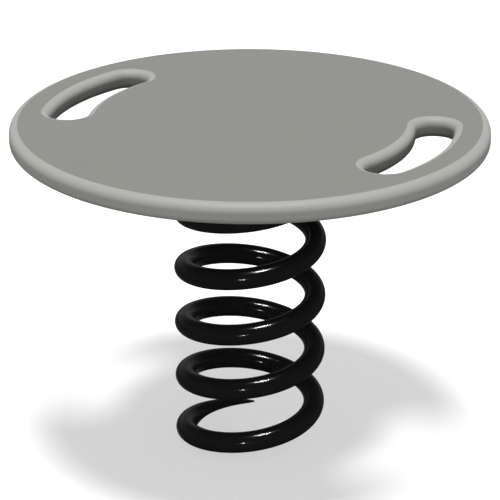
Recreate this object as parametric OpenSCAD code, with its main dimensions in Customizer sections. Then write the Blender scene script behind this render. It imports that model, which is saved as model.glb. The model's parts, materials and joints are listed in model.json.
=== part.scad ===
// Playground spring platform: a round plastic plate with two hand-holds, clamped to one heavy
// coil spring, which is clamped in turn to a steel base plate that lies under the safety surfacing.
// Origin: centre of the base plate's underside. +Z is up, the hand-holds lie on the X axis.

/* [Platform] */
// Diameter of the round plate
platform_d = 458; // [400:2:700]
// Thickness of the plate
platform_t = 19; // [16:1:30]
// Rounding of the plate's upper edges
upper_round = 8.5; // [3:0.5:9]
// Rounding of the plate's lower edges
lower_round = 4.5; // [2:0.5:6]
// Height of the plate's top above the surfacing
seat_height = 332; // [290:1:420]

/* [Hand-holds] */
// Width of the curved slot between its straight walls
grip_w = 36; // [30:1:45]
// Angle between the centres of the slot's round ends
grip_span = 40; // [24:1:60]
// Solid band between the slot and the plate's edge
grip_rim = 35; // [26:1:60]

/* [Spring] */
// Diameter of the wire
wire_d = 20.6; // [16:0.1:25]
// Diameter of the coil, wire centre to wire centre
coil_d = 128; // [110:1:160]
// Turns of wire from one tip to the other
wire_turns = 7.25; // [6.7:0.01:7.8]
// Share of a turn over which the end coil bends up from flat to the full pitch
ramp_turns = 0.25; // [0.15:0.01:0.3]
// Angle of the wire's lower tip, seen from above
tip_angle = -9; // [-180:0.5:180]
// Gap between the wire's tip and the next turn
tip_gap = 1.15; // [1:0.05:4]

/* [Base] */
// Width of the square base plate
base_w = 250; // [240:5:360]
// Thickness of the base plate
base_t = 8; // [6:1:14]
// Radius of the base plate's corners
base_corner_r = 20; // [5:1:30]
// Distance between the anchor holes, along X and along Y
anchor_spacing = 200; // [190:5:300]
// Diameter of an anchor hole
anchor_hole_d = 14; // [10:0.5:18]
// Depth of the base plate's underside below the surfacing
surfacing_t = 70; // [60:1:160]

/* [Top plate] */
// Diameter of the steel plate under the platform
top_plate_d = 250; // [240:2:300]
// Thickness of that plate
top_plate_t = 6; // [4:0.5:10]
// Number of screws that hold it to the platform
screw_count = 6; // [4:1:8]
// Distance from a screw's centre to the plate's edge
screw_edge = 13; // [11:1:20]

/* [Clamps] */
// Number of clamps at each end of the spring
clamp_count = 3; // [2:1:3]
// Thickness of the bent clamp strap
strap_t = 5; // [3:0.5:6]
// Length of a clamp along the wire
strap_w = 34; // [28:1:36]
// Distance from the wire's side to the centre of a clamp's stud
stud_offset = 15.7; // [15:0.1:20]
// Width of a clamp's foot beyond the stud's centre
foot_edge = 11; // [10:0.5:14]

/* [Fasteners] */
// Diameter of a clamp stud
stud_d = 10; // [8:1:12]
// Length of stud that shows past its nut
stud_proud = 3; // [1:0.5:6]
// Width of a clamp nut across its flats
nut_af = 17; // [13:1:19]
// Height of a nut's hexagon
nut_hex_t = 8; // [6:0.5:10]
// Height of the round collar that holds the nylon ring
nut_collar_t = 2.6; // [2:0.1:4]
// Outer diameter of a clamp washer
washer_d = 20; // [17:0.5:22]
// Thickness of a clamp washer
washer_t = 2; // [1:0.1:3]
// Diameter of a platform screw
screw_d = 8; // [6:1:10]
// Length of a platform screw under its head
screw_len = 19; // [17:0.5:24]
// Diameter of a screw's domed head
screw_head_d = 15; // [12:0.5:18]
// Height of that head
screw_head_t = 4.5; // [3:0.5:7]
// Outer diameter of a screw washer
screw_washer_d = 18; // [15:0.5:20]
// Thickness of a screw washer
screw_washer_t = 1.6; // [1:0.1:3]
// Outer diameter of a threaded insert
insert_d = 12; // [11:0.5:16]
// Length of a threaded insert
insert_len = 13; // [9:0.5:16]

/* [Hidden] */

// Clearances and fineness
fit = 0.05;             // radial gap between a fastener and its thread or pressed hole
seat_gap = 0.2;         // gap between the wire and what it is clamped in
joint_gap = 0.3;        // gap between two lengths of the wire, which belong to two bodies
strap_gap = 1.4;        // gap between a clamp's crest and the turn of wire beyond it
hole_gap = 0.5;         // radial gap between a bolt and the plate or foot it passes through
overcut = 1;            // how far a cutter runs past the surface it cuts
stud_chamfer = 1;       // bevel at a stud's tip
nylon_wall = 1.2;       // thickness of the nylon ring in a locking nut
nut_shoulder = 1;       // step in from the nut's flats to its round collar
head_crown = 0.6;       // diameter of a screw head's crown, as a share of the head's
socket_share = 0.7;     // size of a screw's hexagon socket, as a share of its thread
wire_sides = 16;        // sides of the wire's section
seat_share = 0.95;      // share of the seat gap that the wire's straight pieces may cut off its curve
arc_steps = 8;          // straight pieces in a quarter of a rounding
give_side = 270;        // angle of the wire at which the middle of the spring gives
give_quarters = [-8, -6, -5, -4, -1, 1, 4, 5, 6, 8]; // quarter turns from there to each joint

$fn = 64;

platform_r = platform_d / 2;
platform_z = surfacing_t + seat_height - platform_t;
top_plate_z = platform_z - top_plate_t;
wire_r = wire_d / 2;
coil_r = coil_d / 2;

// Rings of points in one turn of the wire, so that its straight pieces stay clear of the clamps' round seats
turn_steps = ceil(180 / acos(1 - seat_share * seat_gap / coil_r));

// The wire lies flat on its plate, bends up over the ramp, and then climbs at the full pitch.
// The flat length leaves room for the tip under the next turn.
lower_z = base_t + seat_gap + wire_r;
upper_z = top_plate_z - seat_gap - wire_r;
pitch = (upper_z - lower_z - 2 * (wire_d + tip_gap)) / (wire_turns - 2);
flat_turns = 1 - ramp_turns / 2 - (wire_d + tip_gap) / pitch;

// The joints lie in pairs, one pair of quarter turns below and above the middle one
first_give = (give_side - tip_angle) / 360;
middle_give = first_give + round(wire_turns / 2 - first_give);
gives = [for (quarters = give_quarters) middle_give + quarters / 4];
half_cut = joint_gap / 2 / (2 * PI * coil_r);

// The clamps share the flat length evenly, past the stretch where the next turn is too near.
strap_turns = strap_w / (2 * PI * coil_r);
first_clamp = (seat_gap + strap_t + strap_gap - tip_gap) / pitch + strap_turns / 2;
last_clamp = flat_turns - strap_turns / 2;
stud_rings = [coil_r - wire_r - stud_offset, coil_r + wire_r + stud_offset];
stud_len = strap_t + washer_t + nut_hex_t + nut_collar_t + stud_proud;

grip_r = platform_r - grip_rim - grip_w / 2;
screw_ring_r = top_plate_d / 2 - screw_edge;
screw_reach = screw_len - screw_washer_t - top_plate_t;
insert_hole_depth = max(insert_len, screw_reach) + overcut;

// Rise of the wire's centre above the flat level, u turns from the tip
function end_rise(u) =
    u <= flat_turns ? 0
    : u <= flat_turns + ramp_turns ? pitch * pow(u - flat_turns, 2) / (2 * ramp_turns)
    : pitch * (u - flat_turns - ramp_turns / 2);

// Height of the wire's centre, and its climb in one turn, u turns from the lower tip
function wire_z(u) =
    u < wire_turns / 2 ? lower_z + end_rise(u) : upper_z - end_rise(wire_turns - u);
function wire_climb(u) = (wire_z(u + 0.001) - wire_z(u - 0.001)) / 0.002;

function wire_angle(u) = tip_angle + 360 * u;

// One ring of points round the wire's centre, square to the wire
function wire_ring(u) =
    let(
        a = wire_angle(u),
        lean = atan2(wire_climb(u), 2 * PI * coil_r),
        out = [cos(a), sin(a), 0],
        up = [sin(a) * sin(lean), -cos(a) * sin(lean), cos(lean)],
        centre = coil_r * out + [0, 0, wire_z(u)]
    )
    [for (k = [0:wire_sides - 1])
        let(t = 360 * k / wire_sides)
        centre + wire_r * (cos(t) * out + sin(t) * up)];

// Clamp number i of clamp_count, in turns from its own end's tip
function clamp_turns(i) =
    first_clamp + (last_clamp - first_clamp) * (i - 1) / max(1, clamp_count - 1);
function lower_clamp_angle(i) = wire_angle(clamp_turns(i));
function upper_clamp_angle(i) = wire_angle(wire_turns - clamp_turns(i));

// Points of an arc about a centre, from one angle to another
function arc(centre, r, from, to, steps = arc_steps) =
    [for (k = [0:steps])
        let(a = from + (to - from) * k / steps)
        centre + r * [cos(a), sin(a)]];

// A length of the wire, from u0 to u1 turns
module wire(u0, u1) {
    steps = max(2, ceil((u1 - u0) * turn_steps));
    rings = [for (i = [0:steps]) wire_ring(u0 + (u1 - u0) * i / steps)];
    points = [for (ring = rings) each ring];
    n = wire_sides;
    walls = [for (i = [0:steps - 1], k = [0:n - 1])
        let(a = i * n + k, b = i * n + (k + 1) % n)
        each [[a, b, b + n], [a, b + n, a + n]]];
    first_cap = [for (k = [n - 1:-1:0]) k];
    last_cap = [for (k = [0:n - 1]) steps * n + k];
    polyhedron(points, concat(walls, [first_cap, last_cap]));
}

// Outline of half the hand-hold's section: straight wall below, flaring to the rounded lips
module grip_half_section() {
    h = grip_w / 2;
    polygon(concat(
        [[0, -overcut], [h + lower_round, -overcut]],
        arc([h + lower_round, lower_round], lower_round, 270, 180),
        arc([h + upper_round, platform_t - upper_round], upper_round, 180, 90),
        [[h + upper_round, platform_t + overcut], [0, platform_t + overcut]]
    ));
}

// The space of one hand-hold, centred on the X axis
module grip_space() {
    rotate([0, 0, -grip_span / 2])
        rotate_extrude(angle = grip_span)
            translate([grip_r, 0]) {
                grip_half_section();
                mirror([1, 0]) grip_half_section();
            }
    for (side = [-1, 1])
        rotate([0, 0, side * grip_span / 2])
            translate([grip_r, 0, 0])
                rotate([0, 0, side > 0 ? 0 : 180])
                    rotate_extrude(angle = 180)
                        grip_half_section();
}

module on_ring(r, count, start = 0) {
    for (i = [0:count - 1])
        rotate([0, 0, start + 360 * i / count])
            translate([r, 0, 0])
                children();
}

module platform_disc() {
    color([0.58, 0.58, 0.56])
        translate([0, 0, platform_z])
            difference() {
                rotate_extrude()
                    polygon(concat(
                        [[0, 0]],
                        arc([platform_r - lower_round, lower_round], lower_round, 270, 360),
                        arc([platform_r - upper_round, platform_t - upper_round], upper_round, 0, 90),
                        [[0, platform_t]]
                    ));
                for (turn = [0, 180])
                    rotate([0, 0, turn])
                        grip_space();
                on_ring(screw_ring_r, screw_count)
                    translate([0, 0, -overcut])
                        cylinder(r = insert_d / 2 + fit, h = insert_hole_depth + overcut);
            }
}

module threaded_inserts() {
    color([0.78, 0.66, 0.36])
        on_ring(screw_ring_r, screw_count)
            translate([0, 0, platform_z])
                difference() {
                    cylinder(d = insert_d, h = insert_len);
                    translate([0, 0, -overcut])
                        cylinder(r = screw_d / 2 + fit, h = insert_len + 2 * overcut);
                }
}

module top_plate() {
    color([0.09, 0.09, 0.09])
        translate([0, 0, top_plate_z])
            difference() {
                cylinder(d = top_plate_d, h = top_plate_t, $fn = 96);
                on_ring(screw_ring_r, screw_count)
                    translate([0, 0, -overcut])
                        cylinder(r = screw_d / 2 + hole_gap, h = top_plate_t + 2 * overcut);
            }
}

// A screw with a domed head and a socket, pointing up from the underside of its washer
module platform_screws() {
    color([0.72, 0.73, 0.75])
        on_ring(screw_ring_r, screw_count)
            translate([0, 0, top_plate_z - screw_washer_t])
                difference() {
                    union() {
                        cylinder(d = screw_d, h = screw_len);
                        translate([0, 0, -screw_head_t])
                            cylinder(d1 = screw_head_d * head_crown, d2 = screw_head_d, h = screw_head_t);
                    }
                    translate([0, 0, -screw_head_t - overcut])
                        cylinder(d = screw_d * socket_share, h = screw_head_t / 2 + overcut, $fn = 6);
                }
}

module screw_washers() {
    color([0.72, 0.73, 0.75])
        on_ring(screw_ring_r, screw_count)
            translate([0, 0, top_plate_z - screw_washer_t])
                washer(screw_washer_d, screw_d, screw_washer_t);
}

module washer(outer_d, bolt_d, t) {
    difference() {
        cylinder(d = outer_d, h = t);
        translate([0, 0, -overcut])
            cylinder(r = bolt_d / 2 + hole_gap / 2, h = t + 2 * overcut);
    }
}

// A strap bent over the flat wire, with a foot and a stud hole on each side of it.
// It stands on z = 0 and is centred on the X axis.
module clamp() {
    inner = wire_r + seat_gap;
    outer = inner + strap_t;
    foot = wire_r + stud_offset + foot_edge;
    crest = [coil_r, inner];
    span = 360 * strap_turns;
    difference() {
        rotate([0, 0, -span / 2])
            rotate_extrude(angle = span)
                polygon(concat(
                    [[coil_r - foot, 0], [coil_r - inner, 0]],
                    arc(crest, inner, 180, 0, 2 * arc_steps),
                    [[coil_r + inner, 0], [coil_r + foot, 0]],
                    [[coil_r + foot, strap_t], [coil_r + outer, strap_t]],
                    arc(crest, outer, 0, 180, 2 * arc_steps),
                    [[coil_r - outer, strap_t], [coil_r - foot, strap_t]]
                ));
        for (r = stud_rings)
            translate([r, 0, -overcut])
                cylinder(r = stud_d / 2 + hole_gap, h = strap_t + 2 * overcut);
    }
}

// Places its children at the lower or the upper clamps, with z = 0 on the plate and +z towards the wire
module at_lower_clamp(i) {
    translate([0, 0, base_t])
        rotate([0, 0, lower_clamp_angle(i)])
            children();
}
module at_upper_clamp(i) {
    translate([0, 0, top_plate_z])
        rotate([0, 0, upper_clamp_angle(i)])
            mirror([0, 0, 1])
                children();
}

// Its children at both studs of a clamp, z above the plate
module at_studs(z) {
    for (r = stud_rings)
        translate([r, 0, z])
            children();
}

module stud() {
    cylinder(d = stud_d, h = stud_len - stud_chamfer);
    translate([0, 0, stud_len - stud_chamfer])
        cylinder(d1 = stud_d, d2 = stud_d - 2 * stud_chamfer, h = stud_chamfer);
}

// A hexagon with its corners turned off, and the round collar of a locking nut
module lock_nut() {
    corner_d = nut_af / cos(30);
    difference() {
        union() {
            intersection() {
                cylinder(d = corner_d, h = nut_hex_t, $fn = 6);
                cylinder(d1 = nut_af, d2 = nut_af + 2 * nut_hex_t, h = nut_hex_t);
            }
            translate([0, 0, nut_hex_t])
                cylinder(d = nut_af - 2 * nut_shoulder, h = nut_collar_t);
        }
        translate([0, 0, -overcut])
            cylinder(r = stud_d / 2 + fit, h = nut_hex_t + nut_collar_t + 2 * overcut);
        translate([0, 0, nut_hex_t])
            cylinder(r = stud_d / 2 + nylon_wall, h = nut_collar_t + overcut);
    }
}

module nylon_ring() {
    difference() {
        cylinder(r = stud_d / 2 + nylon_wall - fit, h = nut_collar_t);
        translate([0, 0, -overcut])
            cylinder(r = stud_d / 2 + fit, h = nut_collar_t + 2 * overcut);
    }
}

module upper_clamp(i) {
    color([0.11, 0.11, 0.11]) at_upper_clamp(i) clamp();
}
module lower_clamp(i) {
    color([0.11, 0.11, 0.11]) at_lower_clamp(i) clamp();
}
module upper_studs() {
    color([0.66, 0.67, 0.69]) for (i = [1:clamp_count]) at_upper_clamp(i) at_studs(0) stud();
}
module lower_studs() {
    color([0.66, 0.67, 0.69]) for (i = [1:clamp_count]) at_lower_clamp(i) at_studs(0) stud();
}
module upper_clamp_washers() {
    color([0.72, 0.73, 0.75])
        for (i = [1:clamp_count]) at_upper_clamp(i) at_studs(strap_t) washer(washer_d, stud_d, washer_t);
}
module lower_clamp_washers() {
    color([0.72, 0.73, 0.75])
        for (i = [1:clamp_count]) at_lower_clamp(i) at_studs(strap_t) washer(washer_d, stud_d, washer_t);
}
module upper_lock_nuts() {
    color([0.72, 0.73, 0.75])
        for (i = [1:clamp_count]) at_upper_clamp(i) at_studs(strap_t + washer_t) lock_nut();
}
module lower_lock_nuts() {
    color([0.72, 0.73, 0.75])
        for (i = [1:clamp_count]) at_lower_clamp(i) at_studs(strap_t + washer_t) lock_nut();
}
module upper_nylon_rings() {
    color([0.16, 0.35, 0.68])
        for (i = [1:clamp_count]) at_upper_clamp(i) at_studs(strap_t + washer_t + nut_hex_t) nylon_ring();
}
module lower_nylon_rings() {
    color([0.16, 0.35, 0.68])
        for (i = [1:clamp_count]) at_lower_clamp(i) at_studs(strap_t + washer_t + nut_hex_t) nylon_ring();
}

// The working coils, one length of wire from each joint to the next, and the two clamped ends
module spring_coil(i) {
    color([0.06, 0.06, 0.06]) wire(gives[i - 1] + half_cut, gives[i] - half_cut);
}
module spring_lower_end() {
    color([0.06, 0.06, 0.06]) wire(0, gives[0] - half_cut);
}
module spring_upper_end() {
    color([0.06, 0.06, 0.06]) wire(gives[len(gives) - 1] + half_cut, wire_turns);
}

module base_plate() {
    inset = base_w / 2 - base_corner_r;
    color([0.11, 0.11, 0.11])
        difference() {
            union() {
                translate([-base_w / 2, -inset, 0]) cube([base_w, 2 * inset, base_t]);
                translate([-inset, -base_w / 2, 0]) cube([2 * inset, base_w, base_t]);
                for (x = [-inset, inset], y = [-inset, inset])
                    translate([x, y, 0])
                        cylinder(r = base_corner_r, h = base_t);
            }
            for (x = [-1, 1], y = [-1, 1])
                translate([x * anchor_spacing / 2, y * anchor_spacing / 2, -overcut])
                    cylinder(d = anchor_hole_d, h = base_t + 2 * overcut);
        }
}

platform_disc();
threaded_inserts();
top_plate();
platform_screws();
screw_washers();
upper_studs();
upper_clamp(1);  // upper_clamp_1
upper_clamp(2);  // upper_clamp_2
upper_clamp(3);  // upper_clamp_3
upper_clamp_washers();
upper_lock_nuts();
upper_nylon_rings();
spring_upper_end();
spring_coil(1);  // spring_coil_1
spring_coil(2);  // spring_coil_2
spring_coil(3);  // spring_coil_3
spring_coil(4);  // spring_coil_4
spring_coil(5);  // spring_coil_5
spring_coil(6);  // spring_coil_6
spring_coil(7);  // spring_coil_7
spring_coil(8);  // spring_coil_8
spring_coil(9);  // spring_coil_9
spring_lower_end();
lower_clamp(1);  // lower_clamp_1
lower_clamp(2);  // lower_clamp_2
lower_clamp(3);  // lower_clamp_3
lower_studs();
lower_clamp_washers();
lower_lock_nuts();
lower_nylon_rings();
base_plate();
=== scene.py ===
# %% [markdown]
# # A playground spring platform
#
# A round plastic plate with two hand-holds stands on one heavy coil spring. The spring is clamped to a steel
# plate that lies under the surfacing, so only the plate and the coils show. The model's frame comes first. It
# gives the sizes and the joints, so the new pieces fit it from the start.

# %% Load the frame
import json
import math

import bpy
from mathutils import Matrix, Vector

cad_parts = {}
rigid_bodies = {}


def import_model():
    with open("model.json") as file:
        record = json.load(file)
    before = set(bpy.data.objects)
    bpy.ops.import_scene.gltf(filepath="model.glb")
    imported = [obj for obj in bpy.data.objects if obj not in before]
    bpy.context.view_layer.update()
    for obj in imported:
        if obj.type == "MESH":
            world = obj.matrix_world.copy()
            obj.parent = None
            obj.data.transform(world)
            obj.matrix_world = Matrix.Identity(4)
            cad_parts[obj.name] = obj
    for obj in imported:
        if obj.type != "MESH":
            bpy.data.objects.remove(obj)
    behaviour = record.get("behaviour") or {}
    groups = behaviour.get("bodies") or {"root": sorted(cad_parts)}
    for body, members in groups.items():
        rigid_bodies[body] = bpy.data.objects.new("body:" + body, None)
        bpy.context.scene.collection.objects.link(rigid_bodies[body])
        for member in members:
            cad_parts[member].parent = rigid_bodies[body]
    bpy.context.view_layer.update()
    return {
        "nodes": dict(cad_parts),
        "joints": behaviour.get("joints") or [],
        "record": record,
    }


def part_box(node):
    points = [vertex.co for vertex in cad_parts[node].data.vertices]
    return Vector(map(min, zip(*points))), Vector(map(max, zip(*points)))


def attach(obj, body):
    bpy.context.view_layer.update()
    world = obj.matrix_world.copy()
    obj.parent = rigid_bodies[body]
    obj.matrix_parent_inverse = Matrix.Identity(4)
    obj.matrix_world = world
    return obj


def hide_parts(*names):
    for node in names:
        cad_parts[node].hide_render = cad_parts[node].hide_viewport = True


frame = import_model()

joints = {joint["name"]: joint for joint in frame["joints"]}

# %% [markdown]
# The plate and the coil are measured on the frame. The bar's radius, the height of the surfacing, the length
# of the ramp between a flat end and the open coils, and the gap beside the bar's tip can't be read from it.
# They are written here once. The first and the last joint are four whole turns apart, which gives the pitch.

# %% Measure the frame
MM = 0.001
BAR_RADIUS = 10.3 * MM
SURFACING_HEIGHT = 70 * MM
RAMP_TURNS = 0.25
TIP_GAP = 1.15 * MM

plate_low, plate_high = (Vector(corner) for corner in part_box("platform_disc"))
PLATE_RADIUS = (plate_high.x - plate_low.x) / 2
PLATE_THICKNESS = plate_high.z - plate_low.z

first_cut = Vector(joints["bounce_1"]["pos_m"])
last_cut = Vector(joints["bounce_4"]["pos_m"])
COIL_RADIUS = first_cut.xy.length
TURNS_BETWEEN_CUTS = 4
PITCH = (last_cut.z - first_cut.z) / TURNS_BETWEEN_CUTS
print(f"plate {2 * PLATE_RADIUS:.3f} m across and {PLATE_THICKNESS:.4f} m thick, coil pitch {PITCH:.5f} m")

# %% [markdown]
# ## Camera
#
# A long lens from far away keeps the plate's ellipse calm. The camera looks down a little, at a point on the
# spring's axis near the middle of the object. It is aimed by turning its own -Z axis towards that point.

# %% Camera
CAMERA_AZIMUTH = math.radians(26.5)
CAMERA_ELEVATION = math.radians(22.44)
CAMERA_DISTANCE = 2.146
CAMERA_LENS = 158.3
VIEW_REACH = 50
LOOK_HEIGHT = 0.196
LOOK_AT = Vector((0, 0, SURFACING_HEIGHT + LOOK_HEIGHT))


def direction(azimuth, elevation):
    """The unit vector from the object towards a lamp or camera."""
    level = math.cos(elevation)
    return Vector((math.sin(azimuth) * level, -math.cos(azimuth) * level, math.sin(elevation)))


def aim(thing, target):
    """Turns a lamp or camera so that it looks at the target."""
    thing.rotation_euler = (target - thing.location).to_track_quat("-Z", "Y").to_euler()


bpy.ops.object.camera_add(location=LOOK_AT + CAMERA_DISTANCE * direction(CAMERA_AZIMUTH, CAMERA_ELEVATION))
camera = bpy.context.object
camera.name = "camera"
camera.data.lens = CAMERA_LENS
camera.data.clip_end = VIEW_REACH
aim(camera, LOOK_AT)
bpy.context.scene.camera = camera
print(f"camera {CAMERA_DISTANCE:.2f} m away with a {CAMERA_LENS:.0f} mm lens")

# %% [markdown]
# ## A small language for shaders
#
# Node trees are easier to read as sums. This class wraps one socket, so that + and * add Math nodes, and its
# `node` method adds any other node: settings first, then the values or links of its sockets. A socket is
# given by its name, or by an underscore and its number. `new_finish` starts a material. Values that are the
# same all over a finish are set on its shader, and `connect` links the ones that change from place to place.

# %% Shader sockets
class Socket:
    """One output of a node tree, or a sum of several."""

    def __init__(self, tree, socket):
        self.tree = tree
        self.socket = socket

    def node(self, kind, settings=None, out=0, **inputs):
        made = self.tree.nodes.new(kind)
        for key, value in (settings or {}).items():
            setattr(made, key, value)
        for key, value in inputs.items():
            numbered = key[1:].isdigit()
            target = made.inputs[int(key[1:]) if numbered else key.replace("_", " ")]
            if isinstance(value, Socket):
                self.tree.links.new(value.socket, target)
            else:
                target.default_value = value
        return Socket(self.tree, made.outputs[out])

    def math(self, operation, other=0.0, first=None):
        left = self if first is None else first
        return self.node("ShaderNodeMath", {"operation": operation}, _0=left, _1=other)

    def __add__(self, other):
        return self.math("ADD", other)

    __radd__ = __add__

    def __mul__(self, other):
        return self.math("MULTIPLY", other)

    __rmul__ = __mul__

    def __rsub__(self, other):
        return self.math("SUBTRACT", self, first=other)

    def ramp(self, low, high):
        """0 below low, 1 above high, smooth between."""
        return self.node("ShaderNodeMapRange", {"interpolation_type": "SMOOTHSTEP"},
                         Value=self, From_Min=low, From_Max=high)

    def blend(self, dark, light):
        """A colour between two colours, by this value. Each is three numbers or a socket."""
        ends = [end if isinstance(end, Socket) else (*end, 1.0) for end in (dark, light)]
        return self.node("ShaderNodeMix", {"data_type": "RGBA"}, out=2, _0=self, _6=ends[0], _7=ends[1])


def noise(place, scale, detail=3.0, roughness=0.5):
    return place.node("ShaderNodeTexNoise", Vector=place, Scale=scale, Detail=detail, Roughness=roughness)


def bump(height, strength, distance):
    return height.node("ShaderNodeBump", Height=height, Strength=strength, Distance=distance)


def new_finish(name, **constants):
    """A new material, the place of each point, and a function that links sockets to its shader."""
    material = bpy.data.materials.new(name)
    material.use_nodes = True
    tree = material.node_tree
    shader = tree.nodes["Principled BSDF"]
    for key, value in constants.items():
        shader.inputs[key.replace("_", " ")].default_value = value
    place = Socket(tree, tree.nodes.new("ShaderNodeTexCoord").outputs["Object"])

    def connect(**links):
        for key, value in links.items():
            tree.links.new(value.socket, shader.inputs[key.replace("_", " ")])

    print("finish:", name)
    return material, place, connect


# %% [markdown]
# ## Light and floor
#
# The sky is brightest near the horizon, grey overhead, and darkest below the horizon. Its colour depends only
# on how far upwards a direction points, from -1 straight down to 1 straight up.

# %% World
SKY_STRENGTH = 1.0
SKY_OVERHEAD = (0.2, 0.2, 0.2)
SKY_LOW = (0.6, 0.6, 0.6)
SKY_BELOW = (0.15, 0.15, 0.15)
HORIZON = (-0.04, 0.02)
GREY_FROM = (0.28, 0.42)
world = bpy.data.worlds.new("studio")
bpy.context.scene.world = world
world.use_nodes = True
surround = world.node_tree.nodes["Background"]
surround.inputs["Strength"].default_value = SKY_STRENGTH
view = Socket(world.node_tree, world.node_tree.nodes.new("ShaderNodeTexCoord").outputs["Generated"])
upwards = view.node("ShaderNodeSeparateXYZ", out=2, Vector=view)
upper_sky = upwards.ramp(*GREY_FROM).blend(SKY_LOW, SKY_OVERHEAD)
sky = upwards.ramp(*HORIZON).blend(SKY_BELOW, upper_sky)
world.node_tree.links.new(sky.socket, surround.inputs["Color"])
bpy.context.scene.view_settings.view_transform = "Standard"
print("sky strength", SKY_STRENGTH)

# %% [markdown]
# A soft sun almost overhead lights the flat top and the floor evenly, and draws the plate's shadow. It leans
# a few degrees towards the camera, and it is wide, so the shadow has a soft edge.


# %% Overhead sun
def sun_lamp(name, azimuth, elevation, strength, spread):
    """A sun in the given direction. Its elevation and spread are in degrees, and its place doesn't matter."""
    bpy.ops.object.light_add(type="SUN")
    lamp = bpy.context.object
    lamp.name = name
    lamp.data.energy = strength
    lamp.data.angle = math.radians(spread)
    lamp.rotation_euler = direction(azimuth, math.radians(elevation)).to_track_quat("Z", "Y").to_euler()
    return lamp


overhead_sun = sun_lamp("overhead_sun", CAMERA_AZIMUTH, elevation=84, strength=4.4, spread=15)
print("overhead sun", round(overhead_sun.data.energy, 2))

# %% [markdown]
# A ring of low suns lights the outer edge of the plate evenly all round. They shine nearly level, so they
# pass over the hand-holds and leave their walls dark. They are linked to the plate alone.

# %% Edge suns
EDGE_SUNS = 8
plate_pieces = bpy.data.collections.new("plate_pieces")
for number in range(EDGE_SUNS):
    azimuth = CAMERA_AZIMUTH + 2 * math.pi * number / EDGE_SUNS
    edge_sun = sun_lamp(f"edge_sun_{number + 1}", azimuth, elevation=4, strength=0.52, spread=8)
    edge_sun.visible_glossy = False
    edge_sun.light_linking.receiver_collection = plate_pieces
print(EDGE_SUNS, "edge suns")

# %% [markdown]
# The glossy bar stands in the plate's shadow, so two small lamps are linked to it alone, and the plate
# doesn't block them: the high one draws a long streak on each strand, and the low one adds a second, shorter
# glint.


# %% Lamps for the bar
LAMP_DISTANCE = 2.6
glossy_pieces = bpy.data.collections.new("glossy_pieces")


def bar_lamp(name, azimuth, elevation, size, power):
    """A round lamp that looks at the middle of the object. Its elevation is in degrees."""
    place = LOOK_AT + LAMP_DISTANCE * direction(azimuth, math.radians(elevation))
    bpy.ops.object.light_add(type="AREA", location=place)
    lamp = bpy.context.object
    lamp.name = name
    lamp.data.shape = "DISK"
    lamp.data.size = size
    lamp.data.energy = power
    lamp.data.use_shadow = False
    lamp.visible_diffuse = False
    lamp.light_linking.receiver_collection = glossy_pieces
    aim(lamp, LOOK_AT)
    print(name, power, "W")


bar_lamp("streak_lamp", CAMERA_AZIMUTH, elevation=80, size=0.6, power=1500)
bar_lamp("glint_lamp", CAMERA_AZIMUTH - math.radians(15), elevation=10, size=0.24, power=170)

# %% [markdown]
# The floor is the top of the surfacing, and the bar goes down through it. It is wide enough to fill every
# view, and it isn't part of the object. It glows a little, like a white studio table lit from inside. A white
# floor this large would light the plate's edge and underside from below as strongly as the sky does from
# above, so its own light is kept off the object.

# %% Floor
FLOOR_SIZE = 24
bpy.ops.mesh.primitive_plane_add(size=FLOOR_SIZE, location=(0, 0, SURFACING_HEIGHT))
floor = bpy.context.object
floor.name = "floor"
bpy.ops.object.transform_apply(location=True)
floor.visible_diffuse = False
floor.visible_glossy = False
print("floor at", SURFACING_HEIGHT)

# %% [markdown]
# ## Finishes
#
# The plate is grey moulded sheet. Its flat top has a fine non-slip grain, pressed in when the sheet was made.
# The edges were routed afterwards, so they are smoother, and carry faint level tool marks. Their colour is
# painted paler than the top's, as a painted highlight on the rolled edges. Two materials would need their
# faces
# sorted, so one material does both: a mask by height picks the flat top, right up to where the edge starts to
# roll over.

# %% Moulded sheet
sheet_finish, place, connect = new_finish("grey_moulded_sheet", Specular_IOR_Level=0.15)
height = place.node("ShaderNodeSeparateXYZ", out=2, Vector=place)
GRAIN_STARTS = plate_high.z - 0.03 * MM
GRAIN_IS_FULL = plate_high.z - 0.01 * MM
# Below this mask the colour is the painted highlight of the edges; above it, the top's own grey and grain.
on_top = height.ramp(GRAIN_STARTS, GRAIN_IS_FULL)
cloud = noise(place, 9.0)
speck = noise(place, 900.0, detail=2.0)
grain = place.node("ShaderNodeTexVoronoi", {"feature": "F1"}, Vector=place, Scale=520.0)
tool_marks = height.node("ShaderNodeTexNoise", {"noise_dimensions": "1D"},
                         W=height, Scale=2600.0, Detail=2.0)
shade = cloud * 0.5 + speck * 0.5
flat_top_grey = shade.blend((0.157, 0.160, 0.146), (0.177, 0.180, 0.165))
# The paler edge colour is a painted highlight: it stands in for light on the rolled edges and hand-hold lips.
painted_edge_highlight = shade.blend((0.252, 0.251, 0.236), (0.272, 0.271, 0.255))
connect(
    Base_Color=on_top.blend(painted_edge_highlight, flat_top_grey),
    Roughness=0.48 + 0.12 * on_top + 0.08 * cloud,
    Normal=bump(grain * on_top + 0.25 * tool_marks * (1 - on_top), 0.35, 0.12 * MM),
)

# %% [markdown]
# The bar of the spring is powder coated in gloss black. Powder coat flows as it is baked, and leaves a faint
# orange peel, so the bump is broad and very shallow. A little dust dulls it in places.

# %% Gloss powder coat
bar_finish, place, connect = new_finish("gloss_black_powder_coat", Specular_IOR_Level=0.015)
peel = noise(place, 260.0, detail=1.5)
dust = noise(place, 30.0, detail=5.0, roughness=0.6).ramp(0.5, 0.75)
connect(
    Base_Color=(dust * 0.6).blend((0.026, 0.026, 0.026), (0.036, 0.036, 0.035)),
    Roughness=0.12 + 0.05 * dust,
    Normal=bump(peel, 0.05, 0.15 * MM),
)

# %% [markdown]
# The plates and clamps are coated in a satin black that is a little textured.

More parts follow.
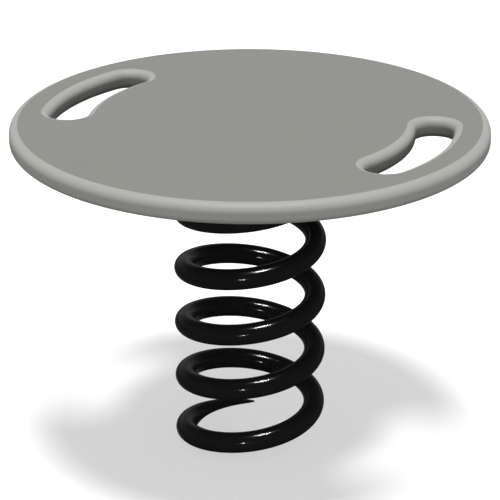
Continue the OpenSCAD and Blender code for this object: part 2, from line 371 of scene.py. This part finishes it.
# %% Satin powder coat
plate_finish, place, connect = new_finish("satin_black_powder_coat", Specular_IOR_Level=0.45)
texture = noise(place, 900.0, detail=2.0)
patches = noise(place, 25.0, detail=4.0)
connect(
    Base_Color=patches.blend((0.010, 0.010, 0.010), (0.022, 0.022, 0.021)),
    Roughness=0.38 + 0.14 * patches,
    Normal=bump(texture, 0.3, 0.08 * MM),
)

# %% [markdown]
# Zinc plating is a bright, slightly cloudy metal with the marks of the tool under it. It is on the studs,
# screws, nuts and washers.

# %% Zinc
zinc_finish, place, connect = new_finish("zinc_plated_steel", Metallic=1.0)
clouds = noise(place, 140.0, detail=5.0)
fine = noise(place, 1500.0, detail=2.0)
connect(
    Base_Color=clouds.blend((0.50, 0.51, 0.52), (0.68, 0.69, 0.69)),
    Roughness=0.28 + 0.2 * clouds,
    Normal=bump(fine, 0.25, 0.03 * MM),
)

# %% [markdown]
# The threaded inserts are turned from brass and go a little dull in patches.

# %% Brass
brass_finish, place, connect = new_finish("turned_brass", Metallic=1.0)
stain = noise(place, 200.0, detail=4.0)
connect(
    Base_Color=stain.blend((0.52, 0.36, 0.12), (0.74, 0.56, 0.25)),
    Roughness=0.25 + 0.2 * stain,
    Normal=bump(stain, 0.2, 0.03 * MM),
)

# %% [markdown]
# The locking rings in the nuts are dyed nylon.

# %% Nylon
nylon_finish, place, connect = new_finish("blue_nylon", IOR=1.53)
haze = noise(place, 400.0, detail=2.0)
connect(
    Base_Color=haze.blend((0.020, 0.085, 0.330), (0.035, 0.120, 0.420)),
    Roughness=0.35 + 0.15 * haze,
    Normal=bump(haze, 0.15, 0.03 * MM),
)

# %% [markdown]
# The floor is plain and pale. Its glow is what keeps the plate's shadow light.

# %% White floor
floor_finish, place, connect = new_finish("white_floor", Specular_IOR_Level=0.0, Emission_Strength=0.56)
paper = noise(place, 3.0, detail=2.0)
connect(
    Base_Color=paper.blend((0.50, 0.50, 0.50), (0.52, 0.52, 0.52)),
    Roughness=0.9 + 0.05 * paper,
    Emission_Color=paper.blend((0.98, 0.98, 0.98), (1.0, 1.0, 1.0)),
)
floor.data.materials.append(floor_finish)

# %% [markdown]
# ## The plate
#
# The real plate is sawn from a sheet, its two hand-holds are routed through, and then every edge is rounded
# over. Here the three outlines are drawn first and filled together, which leaves the hand-holds open. The
# filled outline is extruded to the straight part of the edge, and a row of narrow insets, each a little
# shallower and wider than the last, then rolls every edge over at once, the rim and the hand-holds alike.

# %% Plate sizes
UPPER_ROUND = 8.5 * MM
LOWER_ROUND = 4.5 * MM
GRIP_HALF_WIDTH = 18 * MM
GRIP_RADIUS = PLATE_RADIUS - 53 * MM
GRIP_HALF_SPAN = math.radians(20)
BORDER = 0.5 * MM
RIM_POINTS = 288
GRIP_END_POINTS = 96
GRIP_SIDE_STEPS = 40
UPPER_ROUND_STEPS = 14
LOWER_ROUND_STEPS = 6
NEAR = 1e-5
NEARLY_LEVEL = 0.9
print(f"hand-holds {2000 * GRIP_HALF_WIDTH:.0f} mm wide at radius {1000 * GRIP_RADIUS:.0f} mm")

# %% [markdown]
# An operator acts on all that is selected, so everything is deselected before a new piece is started. In edit
# mode points are picked by their place, and faces by their normal: a face counts as level when the upright
# part of its normal is at least NEARLY_LEVEL.


# %% Selecting and finishing
def deselect_all():
    if bpy.context.object and bpy.context.object.mode != "OBJECT":
        bpy.ops.object.mode_set(mode="OBJECT")
    bpy.ops.object.select_all(action="DESELECT")


def select_points(piece, test):
    """In edit mode, selects the points of the piece that pass the test."""
    bpy.ops.mesh.select_mode(type="VERT")
    bpy.ops.mesh.select_all(action="DESELECT")
    bpy.ops.object.mode_set(mode="OBJECT")
    for point in piece.data.vertices:
        point.select = test(point.co)
    bpy.ops.object.mode_set(mode="EDIT")


def select_faces(piece, test):
    """In edit mode, selects the faces of the piece that pass the test."""
    bpy.ops.mesh.select_mode(type="FACE")
    bpy.ops.mesh.select_all(action="DESELECT")
    bpy.ops.object.mode_set(mode="OBJECT")
    for face in piece.data.polygons:
        face.select = test(face)
    bpy.ops.object.mode_set(mode="EDIT")


def finish_piece(piece, name, finish, angle=30):
    """Puts the piece's place into its mesh, names it, gives it its finish and smooths its round faces."""
    piece.name = name
    piece.data.name = name
    deselect_all()
    piece.select_set(True)
    bpy.context.view_layer.objects.active = piece
    bpy.ops.object.transform_apply(location=True, rotation=True, scale=True)
    bpy.ops.object.shade_smooth_by_angle(angle=math.radians(angle))
    piece.data.materials.clear()
    piece.data.materials.append(finish)
    print(f"{name}: {len(piece.data.polygons)} faces")
    return piece


# %% [markdown]
# A hand-hold is a slot with round ends along an arc. One ring makes it: the ring is split in two halves, each
# half is turned to its end of the slot, and the two open ends are joined by spinning a point along the arc.


# %% Hand-hold outline
def hand_hold_outline(level, turned):
    """The closed outline of a hand-hold at a height, turned about the plate's centre."""
    deselect_all()
    bpy.ops.mesh.primitive_circle_add(vertices=GRIP_END_POINTS, radius=GRIP_HALF_WIDTH, fill_type="NOTHING",
                                      location=(GRIP_RADIUS, 0, level))
    outline = bpy.context.object
    bpy.ops.object.transform_apply(location=True)
    bpy.ops.object.mode_set(mode="EDIT")
    select_points(outline, lambda co: co.y < NEAR)
    bpy.ops.mesh.split()
    bpy.ops.transform.rotate(value=GRIP_HALF_SPAN, orient_axis="Z", center_override=(0, 0, 0))
    bpy.ops.mesh.select_all(action="INVERT")
    bpy.ops.transform.rotate(value=-GRIP_HALF_SPAN, orient_axis="Z", center_override=(0, 0, 0))
    for radius in (GRIP_RADIUS - GRIP_HALF_WIDTH, GRIP_RADIUS + GRIP_HALF_WIDTH):
        end = Vector((radius * math.cos(GRIP_HALF_SPAN), -radius * math.sin(GRIP_HALF_SPAN), level))
        select_points(outline, lambda co: (co - end).length < NEAR)
        bpy.ops.mesh.spin(steps=GRIP_SIDE_STEPS, angle=2 * GRIP_HALF_SPAN,
                          center=(0, 0, level), axis=(0, 0, -1))
    bpy.ops.mesh.select_all(action="SELECT")
    bpy.ops.mesh.remove_doubles(threshold=NEAR)
    bpy.ops.object.mode_set(mode="OBJECT")
    outline.rotation_euler.z = turned
    bpy.ops.object.transform_apply(rotation=True)
    return outline


# %% [markdown]
# Each inset of the rolled edge is one chord of a quarter circle. The last, level inset is only a narrow
# border, and the upright wall has one at its top and bottom. They keep the flat faces looking flat, because
# without them the smoothing at a roll would reach right across.


# %% Plate
def roll_edge(radius, steps):
    """Insets the selected level faces along a quarter circle, from the upright wall to the flat."""
    angles = [math.pi / 2 * step / steps for step in range(steps + 1)]
    for before, after in zip(angles, angles[1:]):
        bpy.ops.mesh.inset(thickness=radius * (math.cos(before) - math.cos(after)),
                           depth=radius * (math.sin(after) - math.sin(before)))
    bpy.ops.mesh.inset(thickness=BORDER)


wall_low = plate_low.z + LOWER_ROUND
outlines = [hand_hold_outline(wall_low, 0), hand_hold_outline(wall_low, math.pi)]
deselect_all()
bpy.ops.mesh.primitive_circle_add(vertices=RIM_POINTS, radius=PLATE_RADIUS, fill_type="NOTHING",
                                  location=(0, 0, wall_low))
plate = bpy.context.object
bpy.ops.object.transform_apply(location=True)
for outline in outlines:
    outline.select_set(True)
bpy.ops.object.join()
bpy.ops.object.mode_set(mode="EDIT")
bpy.ops.mesh.select_all(action="SELECT")
bpy.ops.mesh.fill(use_beauty=True)
for rise in (BORDER, PLATE_THICKNESS - LOWER_ROUND - UPPER_ROUND - 2 * BORDER, BORDER):
    bpy.ops.mesh.extrude_region_move(TRANSFORM_OT_translate={"value": (0, 0, rise)})
bpy.ops.mesh.select_all(action="SELECT")
bpy.ops.mesh.normals_make_consistent(inside=False)
select_faces(plate, lambda face: face.normal.z > NEARLY_LEVEL)
roll_edge(UPPER_ROUND, UPPER_ROUND_STEPS)
select_faces(plate, lambda face: face.normal.z < -NEARLY_LEVEL)
roll_edge(LOWER_ROUND, LOWER_ROUND_STEPS)
bpy.ops.object.mode_set(mode="OBJECT")
finish_piece(plate, "plate", sheet_finish)
plate_pieces.objects.link(plate)
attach(plate, "platform")
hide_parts("platform_disc")

# %% [markdown]
# ## The spring
#
# The spring is one bar, wound into a coil, with a flat end at the top and bottom for the clamps. Its height
# follows a rule: level at a flat end, then a smooth ramp, then a steady rise, and the same again above.
# Places along the bar are told in turns after the first joint.

# %% Coil rule
STEPS_PER_TURN = 160
RING_POINTS = 32
lower_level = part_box("spring_lower_end")[0][2] + BAR_RADIUS
upper_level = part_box("spring_upper_end")[1][2] - BAR_RADIUS
FLAT_TURNS = 1 - RAMP_TURNS / 2 - (2 * BAR_RADIUS + TIP_GAP) / PITCH
FIRST_ANGLE = math.atan2(first_cut.y, first_cut.x)
lower_flat_end = (lower_level - first_cut.z) / PITCH - RAMP_TURNS / 2
upper_flat_end = (upper_level - first_cut.z) / PITCH + RAMP_TURNS / 2
LOWER_TIP = lower_flat_end - FLAT_TURNS
UPPER_TIP = upper_flat_end + FLAT_TURNS


def bar_height(turn):
    """Height of the bar's centre at a turn."""
    from_lower = turn - lower_flat_end
    from_upper = upper_flat_end - turn
    if from_lower < RAMP_TURNS:
        return lower_level + PITCH * max(0.0, from_lower) ** 2 / (2 * RAMP_TURNS)
    if from_upper < RAMP_TURNS:
        return upper_level - PITCH * max(0.0, from_upper) ** 2 / (2 * RAMP_TURNS)
    return first_cut.z + PITCH * turn


print(f"the bar runs from turn {LOWER_TIP:.3f} to turn {UPPER_TIP:.3f}")

# %% [markdown]
# The Screw modifier winds a ring of points round the upright axis, and lifts it as it goes, which is just how
# a coil is wound. Its rings stand upright and don't lean with the slope, so the open coils come out one per
# cent thinner from top to bottom than the bar is. The ends are closed, so each length is a solid piece.


# %% Wind a length of bar
def wound_bar(name, start, stop, follows_rule=False):
    """A closed length of bar between two turns. The flat ends are wound level, and lifted ring by ring."""
    deselect_all()
    angle = FIRST_ANGLE + 2 * math.pi * start
    location = (COIL_RADIUS * math.cos(angle), COIL_RADIUS * math.sin(angle), bar_height(start))
    bpy.ops.mesh.primitive_circle_add(vertices=RING_POINTS, radius=BAR_RADIUS, fill_type="NOTHING",
                                      location=location, rotation=(math.pi / 2, 0, angle))
    bar = bpy.context.object
    bpy.ops.object.transform_apply(location=True, rotation=True)
    winding = bar.modifiers.new("winding", "SCREW")
    winding.angle = 2 * math.pi * (stop - start)
    winding.screw_offset = 0.0 if follows_rule else bar_height(stop) - bar_height(start)
    steps = round(STEPS_PER_TURN * (stop - start))
    winding.steps = steps
    winding.render_steps = steps
    bpy.ops.object.modifier_apply(modifier=winding.name)
    if follows_rule:
        for index, point in enumerate(bar.data.vertices):
            turn = start + (stop - start) * (index // RING_POINTS) / steps
            point.co.z += bar_height(turn) - bar_height(start)
    bpy.ops.object.mode_set(mode="EDIT")
    bpy.ops.mesh.select_all(action="SELECT")
    bpy.ops.mesh.fill_holes(sides=0)
    bpy.ops.mesh.normals_make_consistent(inside=False)
    bpy.ops.object.mode_set(mode="OBJECT")
    finish_piece(bar, name, bar_finish, angle=50)
    glossy_pieces.objects.link(bar)
    return bar


# %% [markdown]
# The joints stand along the bar, and their heights give their turns. A real bar bends everywhere a little.
# Here the lengths between the joints stay stiff, and turn a few degrees against each other at the joints.
# They stop just short of a joint, so that they don't run into each other on the inside of the bend.

# %% Lengths of bar
BEND_CLEARANCE = 0.08 * MM
along_bar = sorted(frame["joints"], key=lambda joint: joint["pos_m"][2])
turns = [(joint["pos_m"][2] - first_cut.z) / PITCH for joint in along_bar]


def short_of(joint):
    """How far the bar stops before the joint, in turns, so that its edge just clears at the joint's limit."""
    limit = math.radians(max(abs(end) for end in joint["range_deg"]))
    return (BAR_RADIUS * math.tan(limit / 2) + BEND_CLEARANCE) / (2 * math.pi * COIL_RADIUS)


gaps = [short_of(joint) for joint in along_bar]
lower_end = wound_bar("spring_lower_bar", LOWER_TIP, turns[0] - gaps[0], follows_rule=True)
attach(lower_end, "base")
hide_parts("spring_lower_end")
for number in range(len(turns) - 1):
    length = wound_bar(f"spring_bar_{number + 1}", turns[number] + gaps[number],
                       turns[number + 1] - gaps[number + 1])
    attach(length, along_bar[number]["child"])
    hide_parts(f"spring_coil_{number + 1}")
upper_end = wound_bar("spring_upper_bar", turns[-1] + gaps[-1], UPPER_TIP, follows_rule=True)
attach(upper_end, "platform")
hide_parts("spring_upper_end")

# %% [markdown]
# A ball centred on each joint fills the wedge that opens between two lengths when they turn, so the bar looks
# round and unbroken. Its radius is a hair less than the bar's, so that it hardly shows at rest.


# %% Balls in the joints
BALL_RADIUS = BAR_RADIUS - 0.02 * MM


def ball_at(joint):
    """A ball inside the bar, centred on the joint. It turns with the body below the joint."""
    deselect_all()
    bpy.ops.mesh.primitive_uv_sphere_add(segments=RING_POINTS, ring_count=RING_POINTS // 2,
                                         radius=BALL_RADIUS, location=joint["pos_m"])
    ball = finish_piece(bpy.context.object, f"bar_ball_{joint['name']}", bar_finish)
    glossy_pieces.objects.link(ball)
    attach(ball, joint["parent"])


for joint in along_bar:
    ball_at(joint)
print(len(along_bar), "balls")

# %% [markdown]
# ## Plates, clamps and fasteners
#
# These already have their true shape in the frame, so they only take their finishes.

# %% Finishes for the frame's own pieces
FINISH_OF_SLOT = {
    "platform": sheet_finish,
    "spring_paint": bar_finish,
    "plate_paint": plate_finish,
    "zinc_steel": zinc_finish,
    "brass_insert": brass_finish,
    "nylon": nylon_finish,
}
for subpart in frame["record"]["subparts"]:
    node = frame["nodes"][subpart["node"]]
    finish = FINISH_OF_SLOT[subpart["material_slot"]]
    for index in range(len(node.data.materials)):
        node.data.materials[index] = finish
